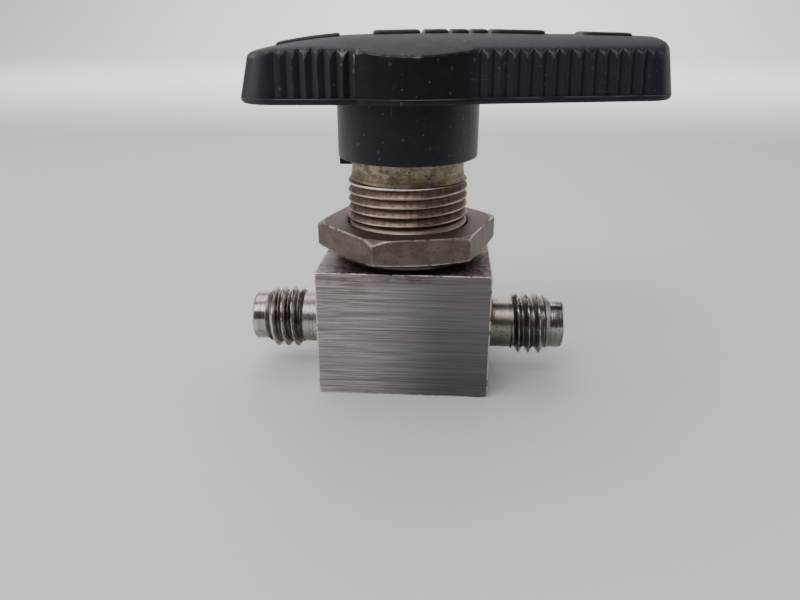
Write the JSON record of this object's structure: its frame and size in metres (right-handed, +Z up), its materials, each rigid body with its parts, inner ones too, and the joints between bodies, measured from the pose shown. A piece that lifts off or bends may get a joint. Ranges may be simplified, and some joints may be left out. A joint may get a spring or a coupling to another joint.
{
  "type": "instrumentation ball valve",
  "caption": "Small quarter-turn ball valve with a black directional lever, threaded packing bolt, hexagonal panel nut and male tube-fitting ends.",
  "frame": {"origin": "centre of the valve body's flat bottom face", "axes": "+X along the flow axis towards the right-hand fitting, where the long arm of the lever points; +Z up the stem; +Y to the back"},
  "size_m": [0.0491, 0.0213, 0.0414],
  "materials": {
    "body_steel": "fine brushed stainless steel with turned, polished fittings",
    "bolt_steel": "turned stainless steel with a tan tint and grime in the thread roots",
    "nut_steel": "matt brownish grey steel with bright worn edges",
    "inner_steel": "turned stainless steel",
    "spring_steel": "blue-grey spring steel",
    "handle_nylon": "satin black moulded nylon with scuffs and dust",
    "seal_plastic": "waxy white fluoroplastic",
    "insert_brass": "turned brass",
    "screw_steel": "black oxide"
  },
  "bodies": {
    "valve": {"valve_body": "body_steel", "lower_packing_support": "inner_steel", "lower_packing": "seal_plastic", "upper_packing": "seal_plastic", "upper_packing_support": "inner_steel", "side_disc_left": "inner_steel", "side_ring_left": "inner_steel", "side_disc_right": "inner_steel", "side_ring_right": "inner_steel", "gland": "inner_steel", "disc_spring_lower": "spring_steel", "disc_spring_upper": "spring_steel", "spring_washer": "inner_steel", "packing_bolt": "bolt_steel", "stem_bushing": "seal_plastic"},
    "nut": {"panel_nut": "nut_steel"},
    "lever": {"ball_stem": "inner_steel", "handle": "handle_nylon", "handle_insert": "insert_brass"},
    "screw": {"set_screw": "screw_steel"}
  },
  "joints": [
    {"name": "lever_turn", "type": "hinge", "parent": "valve", "child": "lever", "pos_m": [0, 0, 0.03], "axis": [0, 0, 1], "range_deg": [-8.6, 81.4]},
    {"name": "panel_nut_travel", "type": "slide", "parent": "valve", "child": "nut", "axis": [0, 0, 1], "range_m": [0, 0.0052]},
    {"name": "set_screw_travel", "type": "slide", "parent": "lever", "child": "screw", "axis": [-0.1494, 0.9888, 0], "range_m": [0, 0.0015]}
  ]
}
